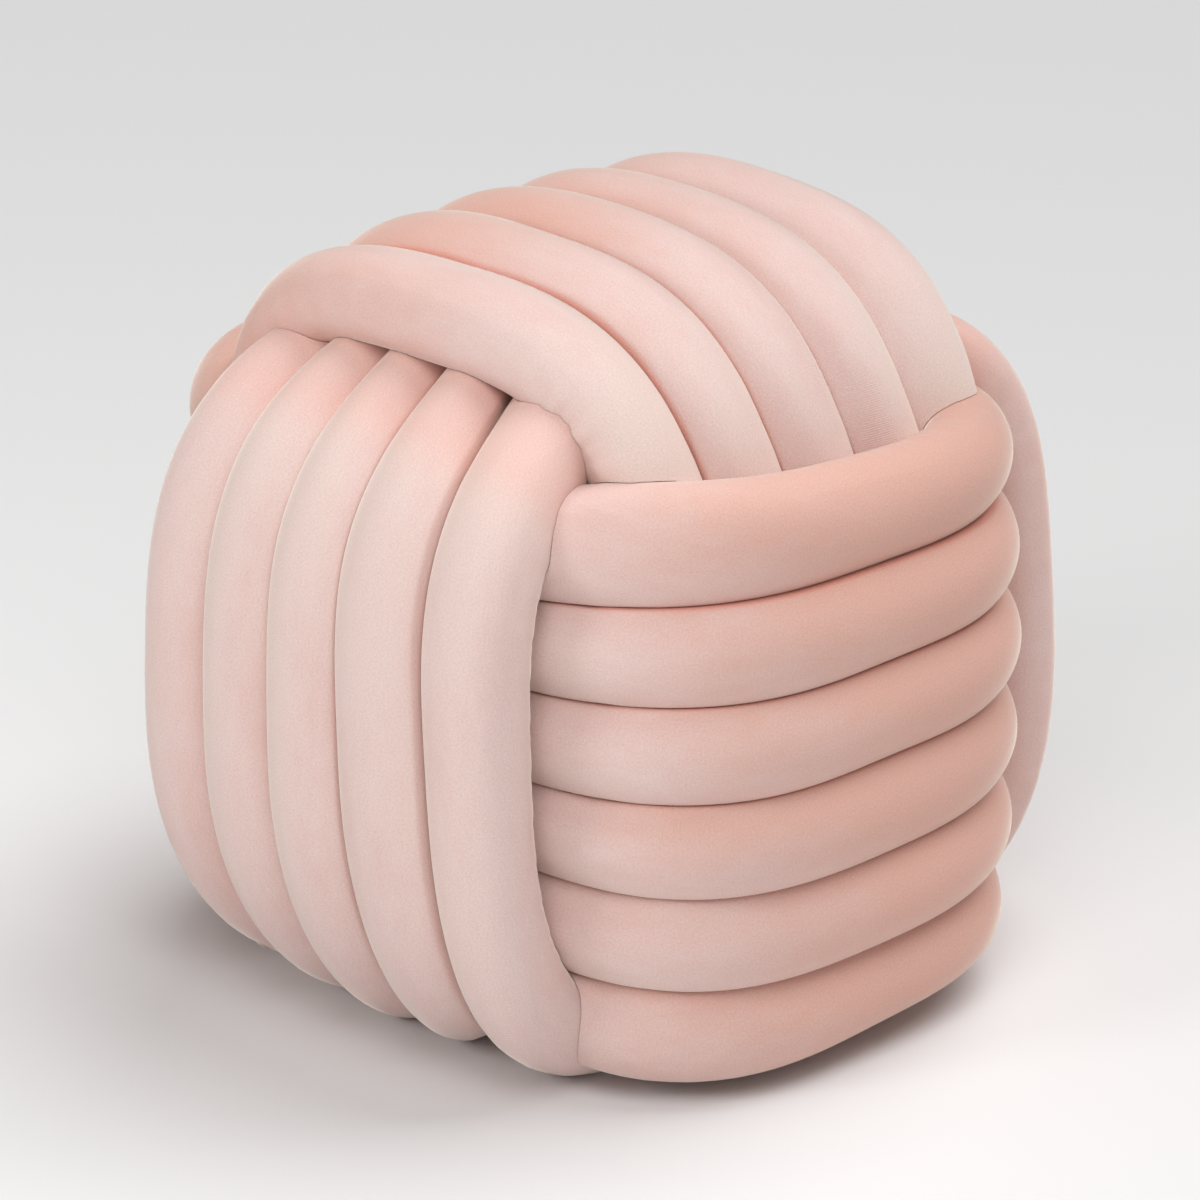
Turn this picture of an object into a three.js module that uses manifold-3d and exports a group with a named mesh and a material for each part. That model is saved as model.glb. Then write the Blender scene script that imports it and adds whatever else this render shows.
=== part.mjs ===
// Braided velvet pouf: a knot of stuffed velvet tubes in three bands that cross at right angles.
// Each band lies over one neighbour and dives under the other, so every tube's ends are tucked in.
// Millimetres, +Z up. The origin is on the floor, under the middle of the pouf.
import * as THREE from 'three';
import { mergeVertices } from 'three/addons/utils/BufferGeometryUtils.js';
import Module from 'manifold-3d';

const wasm = await Module();
wasm.setup();

// Driving dimensions
const middleHeight = 184;
const tubeDepth = 47;
const tubeGap = 0.3;
const tuckUnder = 0.2;
const sectionFullness = 2.8;
const sectionSides = 12;
const runSteps = 14;
const velvetColour = 0xebc8bf;
const velvetRoughness = 0.9;

// A row for each band: its tubes side by side, their pitch and how much wider the outermost two are; how far
// the tubes reach out from the pouf's middle, how much the outermost stand back and are shorter, and how far
// the band sits above the middle; then, for each end of the tubes, how far it goes and how square it bends.
const sideBand = {
  count: 6, pitch: 51, edgeWidth: 1.05, reach: 221, setBack: 8, shorter: 2, lift: -15,
  head: { span: 170, squareness: 3.1 },
  foot: { span: 170, squareness: 3.1 },
};
const uprightBand = {
  count: 5, pitch: 49, edgeWidth: 1.13, reach: 223, setBack: 11, shorter: 3, lift: 0,
  head: { span: 184, squareness: 3.5 },
  foot: { span: 204, squareness: 3 },
};
const topBand = {
  count: 5, pitch: 52, edgeWidth: 1.08, reach: 226, setBack: 6, shorter: 4, lift: 0,
  head: { span: 175, squareness: 3.1 },
  foot: { span: 175, squareness: 3.1 },
};
const baseBand = {
  ...topBand, reach: 191,
  head: { span: 196, squareness: 5 },
  foot: { span: 196, squareness: 5 },
};

// A row for each face of the pouf: the way its tubes run, the way it looks, and the band that lies on it.
// Tubes are numbered from the top down on the sides, from the front on the top and base, and from the left
// on the front and back.
const faces = [
  { name: 'right', along: [0, 1, 0], outward: [1, 0, 0], band: sideBand },
  { name: 'left', along: [0, -1, 0], outward: [-1, 0, 0], band: sideBand },
  { name: 'front', along: [0, 0, 1], outward: [0, -1, 0], band: uprightBand },
  { name: 'back', along: [0, 0, 1], outward: [0, 1, 0], band: uprightBand },
  { name: 'top', along: [-1, 0, 0], outward: [0, 0, 1], band: topBand },
  { name: 'base', along: [1, 0, 0], outward: [0, 0, -1], band: baseBand },
];

// Distance from the middle of a rounded square to its rim, in the direction of an angle.
function roundedSquareRadius(angle, halfWidth, halfHeight, squareness) {
  const across = Math.abs(Math.cos(angle)) / halfWidth;
  const up = Math.abs(Math.sin(angle)) / halfHeight;
  return (across ** squareness + up ** squareness) ** (-1 / squareness);
}

// The middle line of a tube: x along the tube and y outward, bent in towards its head and its foot.
class BentRun extends THREE.Curve {
  constructor(reach, head, foot) {
    super();
    this.reach = reach;
    this.head = head;
    this.foot = foot;
  }

  // The angle from the outward direction at which an end has come in to its tucked place.
  angleAtEnd(end) {
    const inward = 1 - (end.tucked / this.reach) ** end.squareness;
    return Math.atan2(end.span * inward ** (1 / end.squareness), end.tucked);
  }

  getPoint(t, target = new THREE.Vector3()) {
    const angle = THREE.MathUtils.lerp(-this.angleAtEnd(this.foot), this.angleAtEnd(this.head), t);
    const { span, squareness } = angle > 0 ? this.head : this.foot;
    const radius = roundedSquareRadius(angle, this.reach, span, squareness);
    return target.set(radius * Math.sin(angle), radius * Math.cos(angle), 0);
  }
}

// A stuffed tube's section: a rounded square whose flat sides lie against the next tubes.
function tubeSection(width, depth) {
  const halfStep = Math.PI / sectionSides;
  const flatAt = roundedSquareRadius(halfStep, 1, 1, sectionFullness) * Math.cos(halfStep);
  const points = [];
  for (let i = 0; i < sectionSides; i += 1) {
    const angle = (2 * i + 1) * halfStep;
    const radius = roundedSquareRadius(angle, 1, 1, sectionFullness) / flatAt;
    const x = radius * Math.cos(angle) * width / 2;
    const y = radius * Math.sin(angle) * depth / 2;
    points.push(new THREE.Vector2(x, y));
  }
  return new THREE.Shape(points);
}

// The tubes of one face, each with its place in the face's own frame and its share of the band's crown.
function layTubes(face) {
  const { count, pitch, edgeWidth, lift } = face.band;
  const along = new THREE.Vector3(...face.along);
  const outward = new THREE.Vector3(...face.outward);
  const across = new THREE.Vector3().crossVectors(along, outward);
  const group = new THREE.Group();
  group.quaternion.setFromRotationMatrix(new THREE.Matrix4().makeBasis(along, outward, across));
  group.position.set(0, 0, middleHeight + lift);
  group.updateMatrixWorld();
  const outermost = (count - 1) / 2;
  const tubes = [];
  for (let i = 0; i < count; i += 1) {
    const step = i - outermost;
    const isEdge = Math.abs(step) === outermost;
    const extraWidth = isEdge ? (edgeWidth - 1) * pitch : 0;
    const tube = { name: `${face.name}_tube_${i + 1}`, face, group, along, outward, across };
    tube.width = pitch + extraWidth - tubeGap;
    tube.offset = step * pitch + Math.sign(step) * extraWidth / 2;
    tube.crown = (step / outermost) ** 2;
    tube.matrix = group.matrixWorld.clone().multiply(new THREE.Matrix4().makeTranslation(0, 0, tube.offset));
    tubes.push(tube);
  }
  return tubes;
}

const tubesOfFace = new Map(faces.map((face) => [face, layTubes(face)]));

// The outermost tube of the crossing band that a tube's head or foot goes under.
function tubeOver(tube, end) {
  const way = tube.along.clone().multiplyScalar(end);
  const crossing = faces.find((face) => way.dot(new THREE.Vector3(...face.outward)) > 0.5);
  const candidates = tubesOfFace.get(crossing);
  const reachOf = (other) => tube.outward.dot(other.across) * other.offset;
  return candidates.reduce((best, other) => (reachOf(other) > reachOf(best) ? other : best));
}

// How far out from the pouf's middle a tube's tucked end lies, under the tube that covers it.
function tuckedPlace(tube, end) {
  const over = tubeOver(tube, end);
  const place = new THREE.Vector3().setFromMatrixPosition(over.matrix);
  const own = new THREE.Vector3().setFromMatrixPosition(tube.group.matrixWorld);
  return place.sub(own).dot(tube.outward) - tuckUnder * over.width;
}

// A tube as stuffed and bent, before its neighbours press on it, grown by a margin all round.
function stuffedTube(tube, margin) {
  const { reach, setBack, shorter, head, foot } = tube.face.band;
  const cutBack = tubeDepth / 2 + shorter * tube.crown;
  const path = new BentRun(
    reach - tubeDepth / 2 - setBack * tube.crown,
    { span: head.span - cutBack, squareness: head.squareness, tucked: tuckedPlace(tube, 1) },
    { span: foot.span - cutBack, squareness: foot.squareness, tucked: tuckedPlace(tube, -1) });
  const section = tubeSection(tube.width + 2 * margin, tubeDepth + 2 * margin);
  const geometry = new THREE.ExtrudeGeometry(section, { steps: runSteps, extrudePath: path });
  geometry.deleteAttribute('normal');
  geometry.deleteAttribute('uv');
  return mergeVertices(geometry);
}

// Weight on the floor: what would lie lower is pressed level with it.
function flattenOnFloor(geometry, tube) {
  const point = new THREE.Vector3();
  const toFace = tube.matrix.clone().invert();
  const place = geometry.getAttribute('position');
  for (let i = 0; i < place.count; i += 1) {
    point.fromBufferAttribute(place, i).applyMatrix4(tube.matrix);
    point.z = Math.max(point.z, 0);
    point.applyMatrix4(toFace);
    place.setXYZ(i, point.x, point.y, point.z);
  }
  return geometry;
}

function toSolid(geometry) {
  const vertProperties = new Float32Array(geometry.getAttribute('position').array);
  const triVerts = new Uint32Array(geometry.getIndex().array);
  return new wasm.Manifold(new wasm.Mesh({ numProp: 3, vertProperties, triVerts }));
}

function toGeometry(solid) {
  const mesh = solid.getMesh();
  const geometry = new THREE.BufferGeometry();
  geometry.setAttribute('position', new THREE.BufferAttribute(new Float32Array(mesh.vertProperties), 3));
  geometry.setIndex(new THREE.BufferAttribute(new Uint32Array(mesh.triVerts), 1));
  geometry.computeVertexNormals();
  return geometry;
}

// A tube with its two ends pressed back by the tubes that cover them.
function tuckedTube(tube) {
  let solid = toSolid(flattenOnFloor(stuffedTube(tube, 0), tube));
  for (const end of [1, -1]) {
    const over = tubeOver(tube, end);
    const cover = flattenOnFloor(stuffedTube(over, tubeGap), over);
    cover.applyMatrix4(tube.matrix.clone().invert().multiply(over.matrix));
    solid = solid.subtract(toSolid(cover));
  }
  const bodies = solid.decompose();
  return toGeometry(bodies.reduce((a, b) => (b.volume() > a.volume() ? b : a)));
}

const pouf = new THREE.Group();
for (const tubes of tubesOfFace.values()) {
  for (const tube of tubes) {
    const material = new THREE.MeshStandardMaterial({
      color: velvetColour, roughness: velvetRoughness, metalness: 0,
    });
    const mesh = new THREE.Mesh(tuckedTube(tube), material);
    mesh.name = tube.name;
    mesh.position.z = tube.offset;
    tube.group.add(mesh);
  }
  pouf.add(tubes[0].group);
}

export default pouf;
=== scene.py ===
import math
import random

import bpy
import numpy as np
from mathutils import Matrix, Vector


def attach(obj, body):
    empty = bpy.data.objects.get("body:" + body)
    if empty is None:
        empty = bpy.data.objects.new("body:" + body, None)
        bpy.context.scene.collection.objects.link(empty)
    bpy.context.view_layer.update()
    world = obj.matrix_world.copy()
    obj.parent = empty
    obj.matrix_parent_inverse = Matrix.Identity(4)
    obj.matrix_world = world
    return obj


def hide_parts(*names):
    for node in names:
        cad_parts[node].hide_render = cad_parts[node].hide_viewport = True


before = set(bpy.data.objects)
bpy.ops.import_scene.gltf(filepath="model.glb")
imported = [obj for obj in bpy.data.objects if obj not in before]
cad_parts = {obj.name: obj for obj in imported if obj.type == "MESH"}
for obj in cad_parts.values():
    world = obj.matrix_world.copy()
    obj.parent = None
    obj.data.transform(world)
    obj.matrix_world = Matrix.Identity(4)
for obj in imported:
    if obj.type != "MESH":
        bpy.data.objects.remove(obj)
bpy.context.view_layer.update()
scene = bpy.context.scene
bpy.ops.object.select_all(action="DESELECT")
print("frame loaded, nodes:", len(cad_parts))

# Lengths are metres. The pouf is a knot of stuffed velvet tubes in three bands that cross at right angles.

knot = {
    "middle": 0.184,  # height of the pouf's middle above the floor
    "depth": 0.047,  # a tube, from its crown to its inner side
    "swell": 0.0018,  # how far a filled crown stands out past that
    "gap": 0.0003,  # between two tubes side by side
    "contact": 0.0004,  # between a tucked end and the tube over it
    "tuck": 0.2,  # how far an end goes past the middle of the tube over it, in tube widths
    "freeFullness": 2.7,  # a section on the open side of an edge tube: 2 is round, more is squarer
    "crown": 0.011,  # how far a tube's middle domes up above the line where it meets the next
    "freeCrown": 0.006,  # the same on the open side of an edge tube
    "runSteps": 2001,  # fine steps along a tube's middle line, before its rings are spaced evenly
    "stations": 100,  # rings along a tube
    "outerSides": 25,  # edges of a ring on the side that shows
    "innerSides": 11,
    "wrap": 0.06,  # how far the outer side goes past half a turn, in radians
    "cornerDraw": 0.19,  # how far a ring's points are drawn towards its corners, in radians
    "capRings": 3,
    "capLength": 0.008,  # the rounding of a tucked end
    "smoothAngle": 40,  # degrees; sharper edges, at the cut ends, stay sharp
    "seed": 7,
}

# A band's tubes side by side, their pitch and how much wider the outermost two are; how far the tubes reach
# out from the pouf's middle, how much the outermost stand back and are shorter, and how far the band sits
# above the middle; for each end, how far it goes and how square it bends; how square a section is. Then the
# painted sheen and shade: how the colour turns from pale to deep along a tube, where it starts, how it
# changes round the tube, and how much painted shadow reddens the heads under the tube over them.
sideBand = {
    "count": 6, "pitch": 0.051, "edgeWidth": 1.05, "reach": 0.221, "setBack": 0.008, "shorter": 0.002,
    "lift": -0.015, "head": (0.170, 3.1), "foot": (0.170, 3.1), "fullness": 30,
    "nap": (1.0, 0.10, 0.13), "headShade": 0,
}
uprightBand = {
    "count": 5, "pitch": 0.049, "edgeWidth": 1.13, "reach": 0.223, "setBack": 0.009, "shorter": 0.003,
    "lift": 0.0, "head": (0.184, 3.5), "foot": (0.204, 3.0), "fullness": 30,
    "nap": (-0.1, -0.10, -0.10), "headShade": 0.45,
}
backBand = dict(uprightBand, nap=(0.1, -0.01, -0.05))
topBand = {
    "count": 5, "pitch": 0.052, "edgeWidth": 1.08, "reach": 0.226, "setBack": 0.006, "shorter": 0.004,
    "lift": 0.0, "head": (0.175, 3.1), "foot": (0.175, 3.1), "fullness": 30,
    "nap": (0.6, -0.02, 0.10), "headShade": 0,
}
baseBand = dict(topBand, reach=0.191, head=(0.196, 5.0), foot=(0.196, 5.0))

faces = {  # the way a face's tubes run, the way it looks, its band
    "right": ((0, 1, 0), (1, 0, 0), sideBand),
    "left": ((0, -1, 0), (-1, 0, 0), sideBand),
    "front": ((0, 0, 1), (0, -1, 0), uprightBand),
    "back": ((0, 0, 1), (0, 1, 0), backBand),
    "top": ((-1, 0, 0), (0, 0, 1), topBand),
    "base": ((1, 0, 0), (0, 0, -1), baseBand),
}

# How hand knotting pulls the bands out of true, at the tubes' foot, lower half, middle, upper half and head.
pull = {
    "places": (-0.19, -0.10, 0.0, 0.10, 0.19),
    "beyond": 0.01,  # how far past the first and last place the pull still changes
    "lean": {  # a band's shift sideways, in mm
        "right": (-1, 2, 1, 0, 0),
        "left": (0, 0, 0, 4, 9),
        "front": (-5, 7.5, 3, 2.5, -9),
        "back": (0, -10, -7, -2, 3),
        "top": (10, 0, 2.5, 2, 0),
    },
    "spread": {  # a band's widening, in per cent
        "right": (-6.5, 1, 1.5, 0, -1),
        "left": (-3, 0, 0, 0, -3),
        "front": (-8, 6, 3, -4, -18),
        "back": (0, 7, 6, 3, 0),
        "top": (-6, -2, 5, 5, 0),
    },
    "line": {  # one line's own shift sideways, in mm; lines count from 0 at a band's first edge
        ("right", 0): (0, -6, 2, 5, 8),
        ("right", 6): (0, 1, -3, -2, 0),
        ("front", 4): (-4, 4.5, 6.5, 6.5, 4),
        ("front", 5): (20, -3.4, -0.4, 5, 12),
        ("top", 0): (2, 4, 1, 6, 10),
        ("top", 5): (0, 7, 2, 0, 0),
    },
    "rise": {  # how much higher one tube's crown stands, in mm
        "front_tube_2": (0, 0, 0, 0.5, 2),
        "front_tube_3": (0, 0, 0, 0.5, 2.5),
        "front_tube_4": (0, 0, 0, 1, 4),
        "front_tube_5": (0, 0, 0, 2, 2.5),
    },
}

# How hand stuffing strays from an even knot. A wander is a number of waves, the longest, and their height.
unevenness = {
    "groove": (3, 0.5, 0.0007),  # sideways wander of the line between two tubes
    "crown": (4, 0.45, 0.0012),  # a crown's rise and fall
    "nap": 0.03,  # how far a tube's colour may stray at random from its band's
    "deeperTubes": {"front_tube_1": 0.04, "right_tube_6": 0.02},  # tubes painted deeper: the lowest right tube as painted shade where less light reaches it, the first front tube deeper too
}

millimetre = 0.001
perCent = 0.01


def layTubes(faceName):
    along, outward = (np.array(way, float) for way in faces[faceName][:2])
    band = faces[faceName][2]
    outermost = (band["count"] - 1) / 2
    extra = (band["edgeWidth"] - 1) * band["pitch"]
    tubes = []
    for i in range(band["count"]):
        step = i - outermost
        isFirst, isLast = step == -outermost, step == outermost
        low = (step - 0.5) * band["pitch"] - (extra if isFirst else 0)
        high = (step + 0.5) * band["pitch"] + (extra if isLast else 0)
        tubes.append({
            "name": f"{faceName}_tube_{i + 1}", "piece": f"{faceName}_velvet_tube_{i + 1}",
            "band": band, "faceName": faceName, "index": i, "isFirst": isFirst, "isLast": isLast,
            "along": along, "outward": outward, "across": np.cross(along, outward),
            "centre": np.array((0, 0, knot["middle"] + band["lift"])),
            "low": low, "high": high, "offset": (low + high) / 2, "width": high - low,
            "edgeShare": (step / outermost) ** 2,
        })
    return tubes


tubesOf = {name: layTubes(name) for name in faces}
allTubes = [tube for tubes in tubesOf.values() for tube in tubes]


def tubeOver(tube, end):  # the edge tube of the crossing band that covers a tube's head (1) or foot (-1)
    way = tube["along"] * end
    crossing = next(name for name, face in faces.items() if np.dot(way, face[1]) > 0.5)
    candidates = tubesOf[crossing]
    return max(candidates, key=lambda other: np.dot(tube["outward"], other["across"]) * other["offset"])


def waves(rng, count, longest, height):  # a smooth seeded wander, as a function of a length
    parts = [(2 * math.pi * (k + 1) / longest, rng.uniform(0, 2 * math.pi), rng.uniform(0.6, 1.0) / (k + 1))
             for k in range(count)]
    scale = height / sum(part[2] for part in parts)
    return lambda x: scale * sum(size * np.sin(rate * x + phase) for rate, phase, size in parts)


def bentRun(tube):  # a tube's middle line, foot to head: places in its own plane, outward normals, lengths
    band = tube["band"]
    reach = band["reach"] - knot["depth"] / 2 - band["setBack"] * tube["edgeShare"]
    cutBack = knot["depth"] / 2 + band["shorter"] * tube["edgeShare"]
    ends = {}
    for end, name in ((1, "head"), (-1, "foot")):
        over = tubeOver(tube, end)
        place = over["centre"] + over["across"] * over["offset"] - tube["centre"]
        tucked = np.dot(place, tube["outward"]) - knot["tuck"] * over["width"]
        span, squareness = band[name][0] - cutBack, band[name][1]
        inward = 1 - (tucked / reach) ** squareness
        ends[end] = (span, squareness, math.atan2(span * inward ** (1 / squareness), tucked))
    angle = np.linspace(-ends[-1][2], ends[1][2], knot["runSteps"])
    span = np.where(angle > 0, ends[1][0], ends[-1][0])
    squareness = np.where(angle > 0, ends[1][1], ends[-1][1])
    bend = (np.abs(np.cos(angle)) / reach) ** squareness + (np.abs(np.sin(angle)) / span) ** squareness
    radius = bend ** (-1 / squareness)
    place = np.stack([radius * np.sin(angle), radius * np.cos(angle)], 1)
    length = np.r_[0, np.cumsum(np.linalg.norm(np.diff(place, axis=0), axis=1))]
    at = np.linspace(0, length[-1], knot["stations"])
    line = np.stack([np.interp(at, length, place[:, 0]), np.interp(at, length, place[:, 1])], 1)
    way = np.gradient(line, axis=0)
    way /= np.linalg.norm(way, axis=1)[:, None]
    return line, np.stack([-way[:, 1], way[:, 0]], 1), at - np.interp(0, angle, length)


def pulledBy(kind, name, at):  # one kind of pull, smooth through its values at the five places
    if name not in pull[kind]:
        return np.zeros(len(at))
    places = pull["places"]
    bend = np.polyfit(places, pull[kind][name], len(places) - 1)
    return np.polyval(bend, np.clip(at, places[0] - pull["beyond"], places[-1] + pull["beyond"]))


def pulledLine(tube, line, number, at):  # where a line of the even knot lies once the knot is pulled tight
    face = tube["faceName"]
    lean = pulledBy("lean", face, at) + pulledBy("line", (face, number), at)
    return line + lean * millimetre + line * pulledBy("spread", face, at) * perCent


def shapeTube(tube):  # a tube's run, width and depth, before the tubes over it press on it
    line, normal, at = bentRun(tube)
    low = pulledLine(tube, tube["low"], tube["index"], at) + tube["lowLine"](at) + knot["gap"] / 2
    high = pulledLine(tube, tube["high"], tube["index"] + 1, at) + tube["highLine"](at) - knot["gap"] / 2
    tube["line"], tube["normal"], tube["at"] = line, normal, at
    tube["middle"], tube["halfWidth"] = (low + high) / 2, (high - low) / 2
    tube["outerDepth"] = knot["depth"] / 2 + knot["swell"] + tube["crownLine"](at)
    tube["outerDepth"] += pulledBy("rise", tube["name"], at) * millimetre
    tube["outerDepth"] -= stuffing["slack"]
    pressed, free = (tube["band"]["fullness"], knot["crown"]), (knot["freeFullness"], knot["freeCrown"])
    tube["lowSide"] = free if tube["isFirst"] else pressed
    tube["highSide"] = free if tube["isLast"] else pressed


def ringAngles():  # a walk round the section, with closer steps on the outer side and round its corners
    outer = np.linspace(-knot["wrap"], math.pi + knot["wrap"], knot["outerSides"] + 1)
    outer += knot["cornerDraw"] * np.sin(4 * outer)
    inner = np.linspace(math.pi + knot["wrap"], 2 * math.pi - knot["wrap"], knot["innerSides"] + 1)
    angle = np.r_[outer[:-1], inner[:-1]]
    return np.roll(angle, -(knot["outerSides"] + knot["innerSides"] // 2))


def squareRadius(angle, fullness):
    return (np.abs(np.cos(angle)) ** fullness + np.abs(np.sin(angle)) ** fullness) ** (-1 / fullness)


def ringsOf(tube):
    angle = ringAngles()
    fullness, crown = np.where(np.cos(angle)[:, None] < 0, tube["lowSide"], tube["highSide"]).T
    radius = squareRadius(angle, fullness)
    sideways = radius * np.cos(angle)
    outwards = radius * np.sin(angle)
    outer = outwards * (tube["outerDepth"][:, None] - crown) + crown * (1 - sideways ** 2)
    lift = np.where(outwards > 0, outer, outwards * knot["depth"] / 2)
    plane = tube["line"][:, None] + tube["normal"][:, None] * lift[..., None]
    shift = tube["middle"][:, None] + sideways * tube["halfWidth"][:, None]
    return (tube["centre"] + plane[..., :1] * tube["along"] + plane[..., 1:] * tube["outward"]
            + shift[..., None] * tube["across"])


def closeEnds(rings):  # rounds off both tucked ends with a few shrinking rings and a last point
    rings = list(rings)
    for _ in range(2):
        last = rings[-1]
        centre = last.mean(0)
        ahead = centre - rings[-3].mean(0)
        ahead /= np.linalg.norm(ahead)
        for k in range(1, knot["capRings"] + 1):
            turn = math.pi / 2 * k / (knot["capRings"] + 1)
            tip = centre + ahead * knot["capLength"] * math.sin(turn)
            rings.append(tip + (last - centre) * math.cos(turn))
        rings.reverse()
    return np.array(rings), [rings[0].mean(0), rings[-1].mean(0)]


def ringFaces(count, sides):  # between the rings, then from the first and last ring to the two tips
    quads, tips = [], []
    for j in range(sides):
        k = (j + 1) % sides
        tips.append((j, k, count * sides))
        tips.append(((count - 1) * sides + k, (count - 1) * sides + j, count * sides + 1))
    for i in range(count - 1):
        for j in range(sides):
            k = (j + 1) % sides
            quads.append((i * sides + j, (i + 1) * sides + j, (i + 1) * sides + k, i * sides + k))
    return quads + tips


pile = {  # the cloth pattern's offset, and the painted sheen and shade; a place round a tube is 0 at its crown and 1 at its inner side
    "clothShift": 1.37,  # from one tube's cloth to the next one's, so that no two look alike
    "freeTurn": 0.3,  # share of the change round a tube that its open side has
    "grooveShadeFrom": 0.35,  # where the painted shade beside the next tube starts
    "grooveShadeReach": 0.06,
    "headShadeFrom": 0.07,  # where the painted shadow on the head starts, in metres before the tube's end
    "headShadeReach": 0.035,
}


def paintedSheenAndShade(tube, lengths, walk):  # painted sheen and shade: how far the colour has turned from pale towards deep, and the painted shade beside the next tube and on the covered head
    slope, start, turn = tube["band"]["nap"]
    side = walk / walk[:, -1:]
    freeSide = ((side > 0) & tube["isFirst"]) | ((side < 0) & tube["isLast"])
    # painted sheen and shade round and along the tube, weaker round an open side, from the band's start and
    # the tube's random shift
    turned = turn * np.where(freeSide, pile["freeTurn"] * side, side)
    towards = lengths * slope + start + tube["napShift"] + turned
    # painted shade in the groove beside the next tube
    paintedShade = np.clip((np.abs(side) - pile["grooveShadeFrom"]) / pile["grooveShadeReach"], 0, 1)
    paintedShade[freeSide] = 0
    # painted shadow on the head, where the tube over it covers it
    headward = np.clip((lengths - tube["at"][-1] + pile["headShadeFrom"]) / pile["headShadeReach"], 0, 1)
    return towards, np.maximum(paintedShade, headward * tube["band"]["headShade"])


def makeMesh(tube, rings):
    rings, tips = closeEnds(rings)
    count, sides = rings.shape[:2]
    mesh = bpy.data.meshes.new(tube["piece"])
    mesh.from_pydata(np.concatenate([rings.reshape(-1, 3), tips]).tolist(), [], ringFaces(count, sides))
    lengths = np.r_[0, np.cumsum(np.linalg.norm(np.diff(rings[:, sides // 2], axis=0), axis=1))]
    lengths -= np.interp(0, tube["at"], lengths[knot["capRings"]:-knot["capRings"]])
    edges = np.linalg.norm(np.diff(np.concatenate([rings, rings[:, :1]], 1), axis=1), axis=2)
    walk = np.concatenate([np.zeros((count, 1)), np.cumsum(edges, 1)], 1)
    walk -= walk[:, -1:] / 2
    tube["halfGirth"] = float(walk[:, -1].max())
    lengths = np.repeat(lengths[:, None], sides + 1, 1)
    corners = [(row, column) for i in range(count - 1) for j in range(sides)
               for row, column in ((i, j), (i + 1, j), (i + 1, j + 1), (i, j + 1))]
    rows, columns = np.array(corners).T
    layers = {
        "cloth": (lengths + tube["clothStart"], walk),  # metres along and round the tube
        # the painted sheen and shade, for the material
        "sheenAndShade": paintedSheenAndShade(tube, lengths, walk),
    }
    for name, (first, second) in layers.items():
        uv = np.zeros((len(mesh.loops), 2), np.float32)
        uv[:len(rows)] = np.stack([first[rows, columns], second[rows, columns]], 1)
        mesh.uv_layers.new(name=name).data.foreach_set("uv", uv.ravel())
    mesh.update()
    piece = bpy.data.objects.new(tube["piece"], mesh)
    scene.collection.objects.link(piece)
    return piece


def meshPoints(piece):
    points = np.zeros(len(piece.data.vertices) * 3)
    piece.data.vertices.foreach_get("co", points)
    return points.reshape(-1, 3)


def meshNormals(piece):
    normals = np.zeros(len(piece.data.vertices) * 3, np.float32)
    piece.data.vertex_normals.foreach_get("vector", normals)
    return normals.reshape(-1, 3)


def movePoints(piece, points):
    piece.data.vertices.foreach_set("co", points.ravel())
    piece.data.update()


def chooseOnly(piece):
    bpy.ops.object.select_all(action="DESELECT")
    piece.select_set(True)
    bpy.context.view_layer.objects.active = piece


stuffing = {  # the cloth step that fills the tubes
    "slack": 0.0005,  # how far the cloth starts inside its filled shape
    "pressure": 60.0,
    "give": (-0.005, 0.004),  # shrink of the cloth, from loose to tight
    "giveAlong": (5, 0.16, 0.35),  # how looseness wanders along and round a tube
    "giveRound": (3, 0.08, 0.25),
    "giveStep": 0.004,  # length of one step of those wanders
    "holdFullness": 4, "holdFrom": 0.92, "holdReach": 0.2,  # below that height of a section it is held
    "heldRings": 5,  # at each end
    "stiffness": 5, "bending": 0.5,
    "frames": 20,
    "cap": 0.007,  # the farthest a point may move
}


def addCloth(tube):  # holds the cloth where the tubes touch and lets pressure fill the side that shows
    piece = tube["object"]
    sides = knot["outerSides"] + knot["innerSides"]
    rings = knot["stations"] + 2 * knot["capRings"]
    angle = ringAngles()
    height = np.sin(angle) * squareRadius(angle, stuffing["holdFullness"])
    hold = np.tile(np.clip((stuffing["holdFrom"] - height) / stuffing["holdReach"], 0, 1), (rings, 1))
    hold[:stuffing["heldRings"]] = hold[-stuffing["heldRings"]:] = 1
    looseAlong = tube["giveAlong"](np.arange(rings) * stuffing["giveStep"])
    looseRound = tube["giveRound"](np.arange(sides) * stuffing["giveStep"])
    share = np.clip(0.5 + looseAlong[:, None] + looseRound, 0, 1)
    held, given = piece.vertex_groups.new(name="held"), piece.vertex_groups.new(name="given")
    for index, (weight, part) in enumerate(zip(hold.ravel(), share.ravel())):
        if weight > 0:
            held.add([index], float(weight), "REPLACE")
        given.add([index], float(part), "REPLACE")
    held.add([rings * sides, rings * sides + 1], 1.0, "REPLACE")
    cloth = piece.modifiers.new("stuffing", "CLOTH")
    cloth.settings.vertex_group_mass = "held"
    cloth.settings.vertex_group_shrink = "given"
    cloth.settings.shrink_min, cloth.settings.shrink_max = stuffing["give"]
    cloth.settings.use_pressure = True
    cloth.settings.uniform_pressure_force = stuffing["pressure"]
    cloth.settings.effector_weights.gravity = 0
    cloth.settings.tension_stiffness = cloth.settings.compression_stiffness = stuffing["stiffness"]
    cloth.settings.bending_stiffness = stuffing["bending"]
    cloth.collision_settings.use_collision = False
    cloth.point_cache.frame_start = 1
    cloth.point_cache.frame_end = stuffing["frames"]


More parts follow.
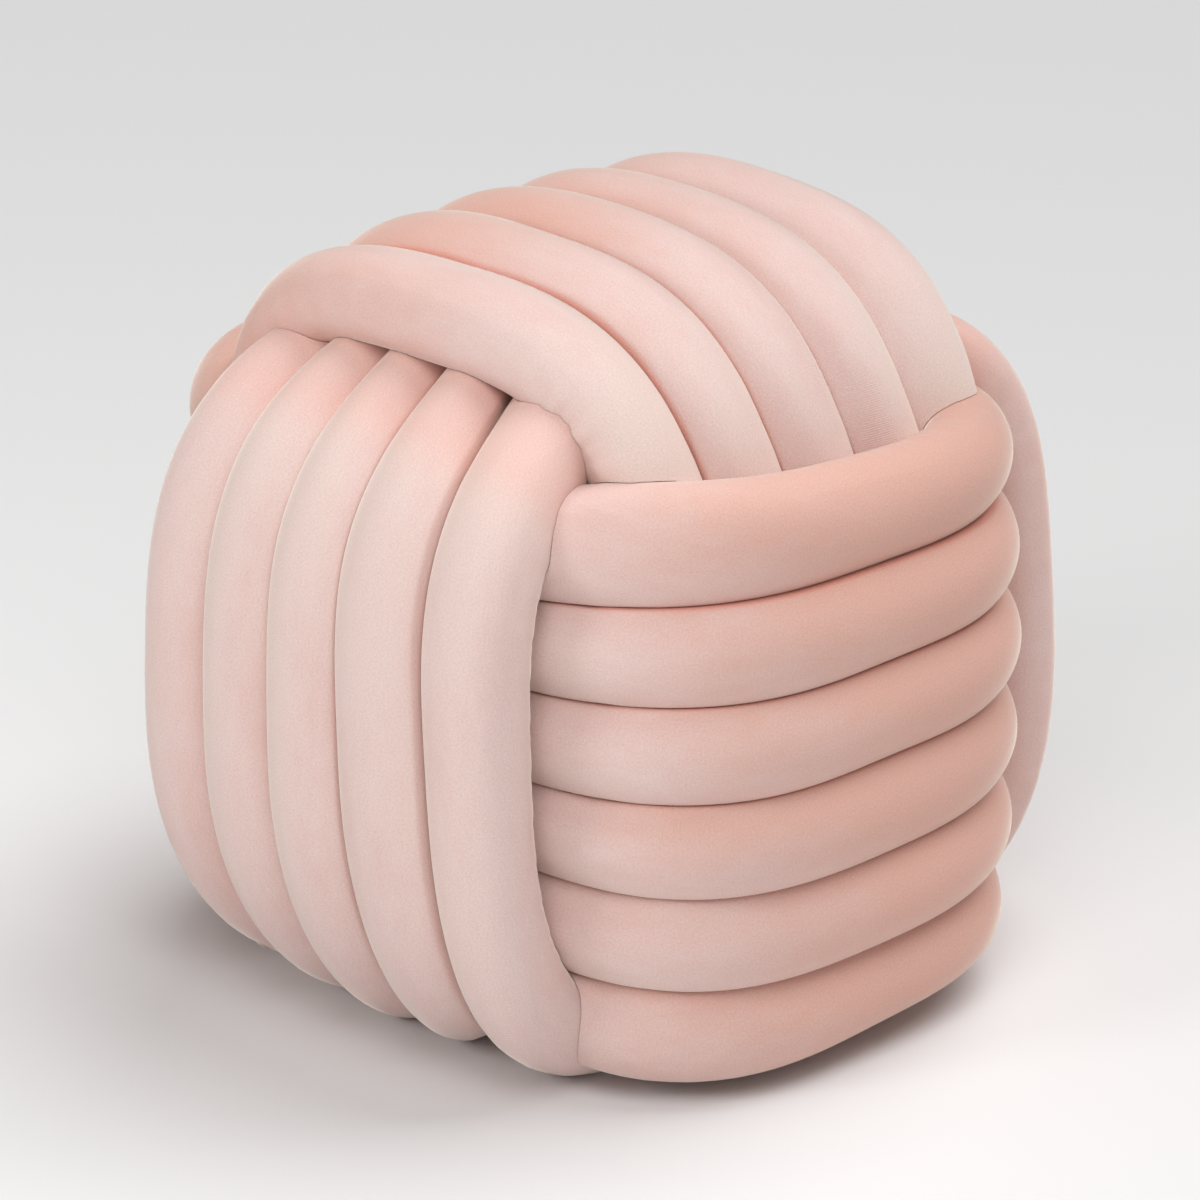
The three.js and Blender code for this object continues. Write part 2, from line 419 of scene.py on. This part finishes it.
def settle(tube, before):  # keeps the filled cloth inside its own lane and near its pattern
    moved = meshPoints(tube["object"]) - before
    far = np.linalg.norm(moved, axis=1, keepdims=True)
    points = before + moved * np.minimum(1, stuffing["cap"] / np.maximum(far, 1e-9))
    sides = knot["outerSides"] + knot["innerSides"]
    stations = np.clip(np.arange(len(points)) // sides - knot["capRings"], 0, knot["stations"] - 1)
    across = (points - tube["centre"]) @ tube["across"]
    low = (tube["middle"] - tube["halfWidth"])[stations]
    high = (tube["middle"] + tube["halfWidth"])[stations]
    movePoints(tube["object"], points + (np.clip(across, low, high) - across)[:, None] * tube["across"])
    return float(far.max())


folds = {  # small folds in the cloth; a place round a tube is 0 at its crown and 1 at its inner side
    "pucker": 0.0003,  # depth along the open edge of an edge tube
    "puckerWaves": (3, 0.026, 1.0),
    "puckerAt": 0.53, "puckerReach": 0.14,  # their place and reach round the tube
    "drawn": ("top_tube_1", -0.13, 0.03, 0.0018),  # an edge drawn up in folds: their place, reach and depth
    "gather": 0.0002,  # depth where a tube goes under another
    "gatherWaves": (3, 0.019, 1.0),
    "gatherFrom": 0.075, "gatherReach": 0.05,  # metres before the tube's end
    "gatherSlant": 0.3, "gatherSides": 0.47,
}


def puckerCloth(tube):  # folds along open edges and where the ends go under; nothing goes below the floor
    piece, mesh = tube["object"], tube["object"].data
    corner = np.zeros(len(mesh.loops), np.int32)
    mesh.loops.foreach_get("vertex_index", corner)
    uv = np.zeros(len(mesh.loops) * 2, np.float32)
    mesh.uv_layers["cloth"].data.foreach_get("uv", uv)
    spot = np.zeros((len(mesh.vertices), 2))
    spot[corner] = uv.reshape(-1, 2)
    along, around = spot[:, 0] - tube["clothStart"], spot[:, 1]
    side = around / tube["halfGirth"]
    depth = np.full(len(spot), folds["pucker"])
    name, place, reach, most = folds["drawn"]
    if tube["name"] == name:
        depth += most * np.exp(-((along - place) / reach) ** 2)
    fold = np.zeros(len(spot))
    for isEdge, sign in ((tube["isFirst"], 1), (tube["isLast"], -1)):
        if isEdge:
            share = np.exp(-((side * sign - folds["puckerAt"]) / folds["puckerReach"]) ** 2)
            fold += depth * share * tube["puckerLine"](along)
    footward = np.clip((tube["at"][0] + folds["gatherFrom"] - along) / folds["gatherReach"], 0, 1)
    headward = np.clip((along - tube["at"][-1] + folds["gatherFrom"]) / folds["gatherReach"], 0, 1)
    ends = (footward + headward) * (np.abs(side) < folds["gatherSides"])
    fold += folds["gather"] * ends * tube["gatherLine"](around + folds["gatherSlant"] * along)
    points = meshPoints(piece) + meshNormals(piece) * fold[:, None]
    points[:, 2] = np.maximum(points[:, 2], 0.0)
    movePoints(piece, points)


rng = random.Random(knot["seed"])
for tubes in tubesOf.values():
    lines = [waves(rng, *unevenness["groove"]) for _ in range(len(tubes) + 1)]
    for i, tube in enumerate(tubes):
        tube["lowLine"], tube["highLine"] = lines[i], lines[i + 1]
        tube["crownLine"] = waves(rng, *unevenness["crown"])
        tube["napShift"] = rng.uniform(-unevenness["nap"], unevenness["nap"])
        tube["napShift"] += unevenness["deeperTubes"].get(tube["name"], 0)
for order, tube in enumerate(allTubes):
    tube["clothStart"] = order * pile["clothShift"]
    shapeTube(tube)
    tube["object"] = makeMesh(tube, ringsOf(tube))
    tube["puckerLine"] = waves(rng, *folds["puckerWaves"])
    tube["gatherLine"] = waves(rng, *folds["gatherWaves"])
    tube["giveAlong"] = waves(rng, *stuffing["giveAlong"])
    tube["giveRound"] = waves(rng, *stuffing["giveRound"])
patterns = [meshPoints(tube["object"]) for tube in allTubes]
for tube in allTubes:
    addCloth(tube)
for now in range(1, stuffing["frames"] + 1):
    scene.frame_set(now)
for tube in allTubes:
    chooseOnly(tube["object"])
    bpy.ops.object.modifier_apply(modifier="stuffing")
    tube["object"].vertex_groups.clear()
scene.frame_set(1)
moves = [settle(tube, pattern) for tube, pattern in zip(allTubes, patterns)]
print("cloth filled, farthest move in mm:", round(max(moves) / millimetre, 1))
for tube in allTubes:
    chooseOnly(tube["object"])
    smooth = tube["object"].modifiers.new("smooth", "SUBSURF")
    smooth.levels = smooth.render_levels = 1
    bpy.ops.object.modifier_apply(modifier="smooth")
    puckerCloth(tube)
print("tubes stuffed")


def grownCopy(piece, margin):  # the tube as a cutter, a little fatter all round
    cutter = piece.copy()
    cutter.data = piece.data.copy()
    scene.collection.objects.link(cutter)
    movePoints(cutter, meshPoints(cutter) + meshNormals(cutter) * margin)
    return cutter


def keepLargest(piece):  # drops what a cut leaves loose
    chooseOnly(piece)
    bpy.ops.object.mode_set(mode="EDIT")
    bpy.ops.mesh.select_all(action="SELECT")
    bpy.ops.mesh.separate(type="LOOSE")
    bpy.ops.object.mode_set(mode="OBJECT")
    parts = list(bpy.context.selected_objects)
    piece.data = max(parts, key=lambda part: len(part.data.polygons)).data
    for part in parts:
        if part != piece:
            bpy.data.objects.remove(part)


cutters = {}
for tube in allTubes:
    for end in (1, -1):
        over = tubeOver(tube, end)
        if over["name"] not in cutters:
            cutters[over["name"]] = grownCopy(over["object"], knot["contact"])
for tube in allTubes:
    piece = tube["object"]
    chooseOnly(piece)
    for end in (1, -1):
        cut = piece.modifiers.new("tuck", "BOOLEAN")
        cut.operation = "DIFFERENCE"
        cut.solver = "MANIFOLD"
        cut.object = cutters[tubeOver(tube, end)["name"]]
        bpy.ops.object.modifier_apply(modifier="tuck")
    keepLargest(piece)
for cutter in cutters.values():
    bpy.data.objects.remove(cutter)
print("ends tucked")

pieces = [tube["object"] for tube in allTubes]
for tube in allTubes:
    piece = tube["object"]
    chooseOnly(piece)
    bpy.ops.object.shade_smooth_by_angle(angle=math.radians(knot["smoothAngle"]))
    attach(piece, "root")
    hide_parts(tube["name"])
print("tubes:", len(pieces), "faces:", sum(len(piece.data.polygons) for piece in pieces))


class Wire:  # one socket, with arithmetic
    def __init__(self, tree, socket):
        self.tree, self.socket = tree, socket

    def node(self, kind, settings=None, sockets=None, out=0):
        made = self.tree.nodes.new(kind)
        for name, value in (settings or {}).items():
            setattr(made, name, value)
        for name, value in (sockets or {}).items():
            if isinstance(value, Wire):
                self.tree.links.new(value.socket, made.inputs[name])
            else:
                made.inputs[name].default_value = value
        return Wire(self.tree, made.outputs[out])

    def maths(self, operation, a, b):
        return self.node("ShaderNodeMath", {"operation": operation}, {0: a, 1: b})

    def __add__(self, other):
        return self.maths("ADD", self, other)

    def __radd__(self, other):
        return self.maths("ADD", other, self)

    def __sub__(self, other):
        return self.maths("SUBTRACT", self, other)

    def __rsub__(self, other):
        return self.maths("SUBTRACT", other, self)

    def __mul__(self, other):
        return self.maths("MULTIPLY", self, other)

    def __rmul__(self, other):
        return self.maths("MULTIPLY", other, self)

    def __truediv__(self, other):
        return self.maths("DIVIDE", self, other)

    def __rtruediv__(self, other):
        return self.maths("DIVIDE", other, self)

    def between(self, low, high):  # 0 below low, 1 above high, eased
        return self.node("ShaderNodeMapRange", {"interpolation_type": "SMOOTHSTEP"},
                         {"Value": self, "From Min": low, "From Max": high})

    def mixed(self, first, second):  # this share of the second colour in the first
        return self.node("ShaderNodeMix", {"data_type": "RGBA"}, {0: self, 6: first, 7: second}, 2)

    def feed(self, socket):
        self.tree.links.new(self.socket, socket)


velvet = {
    # pale and deep: the colour turns between them along and round a tube as painted sheen and shade; shade:
    # painted shade in grooves and on covered heads
    "pale": (0.765, 0.595, 0.565, 1), "deep": (0.73, 0.435, 0.36, 1), "shade": (0.88, 0.40, 0.31, 1),
    # the cream colour is a painted sheen highlight, and the deepest colour is painted shade
    "sheenCream": (0.80, 0.665, 0.58, 1), "shadedEnd": (0.58, 0.34, 0.28, 1),
    "toneAndSheenReach": 0.17,  # metres along a tube in which the colour turns from pale to deep, as painted sheen and shade
    "toneAndSheenRange": (-0.3, 1.3),  # eased between these
    "patch": ((9, 22), 3, 0.5),  # brushed patches to the metre, along and round the tube; detail, roughness
    "stroke": ((60, 130), 4, 0.6),  # strokes in the pile
    "grain": ((850, 850), 2, 0.7),  # tufts
    "ribPitch": 0.0012,  # faint rows of the knitted ground
    "ribWander": 0.6,
    "ribPatches": (0.0, 0.2),  # the rows show in some brushed patches only
    "patchTurn": 1.2, "strokeTurn": 0.5, "ribTurn": 0.08,  # how far each of these turns the pile
    # a painted sheen highlight, cream where the colour is palest
    "sheenCreamBelow": 0.25, "sheenCreamReach": 0.7, "sheenCreamShare": 0.5,
    # painted shade at the deep ends of the side tubes
    "shadedEndRange": (0.6, 1.7), "shadedEndShare": 0.5,
    "paintedShadeShare": 0.65, "leastShade": 0.04,  # of the shade colour: painted shade beside the next tube and on covered heads, and a little of it everywhere
    "grainLight": 0.4,  # how much brighter or darker a tuft is
    "roughness": 0.88, "strokeRoughness": 0.2,
    "grainHeight": 0.5, "strokeHeight": 0.8, "ribHeight": 0.35, "bump": 0.35, "bumpDepth": 0.0008,
}
velvetGloss = {
    "Specular IOR Level": 0.15,
    "Sheen Weight": 1.0, "Sheen Roughness": 0.3, "Sheen Tint": (1.0, 0.95, 0.86, 1),
}
wavePeriod = 0.314  # a Wave node's period at scale 1


def velvetMaterial():
    material = bpy.data.materials.new("blushVelvet")
    material.use_nodes = True
    tree = material.node_tree
    shader = tree.nodes["Principled BSDF"]
    start = Wire(tree, None)
    cloth = start.node("ShaderNodeUVMap", {"uv_map": "cloth"})
    sheenAndShade = start.node("ShaderNodeUVMap", {"uv_map": "sheenAndShade"})
    # the painted sheen and shade: how far the colour has turned from pale to deep, and the painted shade
    # mask
    towards = start.node("ShaderNodeSeparateXYZ", None, {0: sheenAndShade}, 0) / velvet["toneAndSheenReach"]
    paintedShade = start.node("ShaderNodeSeparateXYZ", None, {0: sheenAndShade}, 1)

    def noise(scale, detail, roughness):
        place = start.node("ShaderNodeMapping", None, {"Vector": cloth, "Scale": (*scale, 1)})
        return start.node("ShaderNodeTexNoise", None,
                          {"Vector": place, "Scale": 1.0, "Detail": detail, "Roughness": roughness}) - 0.5

    patch, stroke, grain = noise(*velvet["patch"]), noise(*velvet["stroke"]), noise(*velvet["grain"])
    rows = {"Vector": cloth, "Scale": wavePeriod / velvet["ribPitch"], "Distortion": velvet["ribWander"]}
    ribs = start.node("ShaderNodeTexWave", {"bands_direction": "X"}, rows, 1) - 0.5
    ribs = ribs * patch.between(*velvet["ribPatches"])

    # pale to deep: painted sheen and shade along and round the tube, varied by random brushed patches and
    # strokes
    nap = towards + 0.5 + patch * velvet["patchTurn"] + stroke * velvet["strokeTurn"]
    # painted sheen highlight: cream where the colour is palest
    sheenCreamy = (velvet["sheenCreamBelow"] - nap).between(0, velvet["sheenCreamReach"]) * velvet["sheenCreamShare"]
    # painted shade at the deep ends of the side tubes
    shadedEnd = towards.between(*velvet["shadedEndRange"]) * velvet["shadedEndShare"]
    # painted shade in the grooves beside the next tube and on the heads under the tube over them
    shaded = paintedShade.between(0, 1) * velvet["paintedShadeShare"] + velvet["leastShade"]
    lain = nap.between(*velvet["toneAndSheenRange"]) + ribs * velvet["ribTurn"]
    colour = lain.mixed(velvet["pale"], velvet["deep"])
    colour = shadedEnd.mixed(sheenCreamy.mixed(colour, velvet["sheenCream"]), velvet["shadedEnd"])
    colour = shaded.mixed(colour, velvet["shade"])
    tufted = {"Color": colour, "Value": 1 + grain * velvet["grainLight"]}
    start.node("ShaderNodeHueSaturation", None, tufted).feed(shader.inputs["Base Color"])
    (velvet["roughness"] + stroke * velvet["strokeRoughness"]).feed(shader.inputs["Roughness"])

    height = grain * velvet["grainHeight"] + stroke * velvet["strokeHeight"] + ribs * velvet["ribHeight"]
    raised = {"Strength": velvet["bump"], "Distance": velvet["bumpDepth"], "Height": height}
    start.node("ShaderNodeBump", None, raised).feed(shader.inputs["Normal"])
    for name, value in velvetGloss.items():
        shader.inputs[name].default_value = value
    return material


velvetFinish = velvetMaterial()
for piece in pieces:
    piece.data.materials.clear()
    piece.data.materials.append(velvetFinish)
print("velvet laid on")

studio = {
    "floorSize": 14.0, "floorColour": (0.8, 0.8, 0.8, 1), "floorRoughness": 0.9,
    "worldColour": (1, 1, 1, 1), "worldStrength": 0.2,
    "lampAim": (0, 0, 0.2),
}

bpy.ops.mesh.primitive_plane_add(size=studio["floorSize"], location=(0, 0, 0))
floor = bpy.context.object
floor.name = "floor"
floorFinish = bpy.data.materials.new("paleFloor")
floorFinish.use_nodes = True
floorShader = floorFinish.node_tree.nodes["Principled BSDF"]
floorShader.inputs["Base Color"].default_value = studio["floorColour"]
floorShader.inputs["Roughness"].default_value = studio["floorRoughness"]
floor.data.materials.append(floorFinish)

world = bpy.data.worlds.new("studioLight")
scene.world = world
world.use_nodes = True
world.node_tree.nodes["Background"].inputs["Color"].default_value = studio["worldColour"]
world.node_tree.nodes["Background"].inputs["Strength"].default_value = studio["worldStrength"]

softLights = [  # name, kind, azimuth, height angle, strength, width (a sun: softness in degrees), distance
    ("keyLight", "AREA", -12, 24, 10.4, 0.6, 2.2),
    ("frontLight", "AREA", 44, 48, 9.8, 0.9, 1.7),
    ("fillLight", "SUN", 25, 14, 0.3, 60, 3),
    ("topLight", "SUN", 165, 62, 2.0, 50, 3),
    ("rightLight", "SUN", 170, 20, 0.22, 40, 3),
]


def fromAngles(azimuth, height):  # azimuth 0 looks from -Y and 90 from +X
    a, e = math.radians(azimuth), math.radians(height)
    return Vector((math.sin(a) * math.cos(e), -math.cos(a) * math.cos(e), math.sin(e)))


for name, kind, azimuth, height, strength, size, distance in softLights:
    way = fromAngles(azimuth, height)
    bpy.ops.object.light_add(type=kind, location=Vector(studio["lampAim"]) + way * distance)
    lamp = bpy.context.object
    lamp.name = name
    lamp.rotation_mode = "QUATERNION"
    lamp.rotation_quaternion = (-way).to_track_quat("-Z", "Y")
    lamp.data.energy = strength
    if kind == "SUN":
        lamp.data.angle = math.radians(size)
    else:
        lamp.data.size = size

camera = {
    "azimuth": 45.376, "height": 21.484, "distance": 3.168, "lens": 180.435, "sensor": 36,
    "aimRight": 0.0018, "aimUp": 0.0106, "farthest": 50,
}

back = fromAngles(camera["azimuth"], camera["height"])
rightWay = fromAngles(camera["azimuth"] + 90, 0)
upWay = back.cross(rightWay)
middle = Vector((0, 0, knot["middle"]))
aim = middle + rightWay * camera["aimRight"] + upWay * camera["aimUp"]
eye = middle + back * camera["distance"]
bpy.ops.object.camera_add(location=eye)
cameraObject = bpy.context.object
cameraObject.rotation_mode = "QUATERNION"
cameraObject.rotation_quaternion = (aim - eye).to_track_quat("-Z", "Y")
cameraObject.data.sensor_width = camera["sensor"]
cameraObject.data.lens = camera["lens"]
cameraObject.data.clip_end = camera["farthest"]
scene.camera = cameraObject
scene.view_settings.view_transform = "Standard"
print("studio ready")
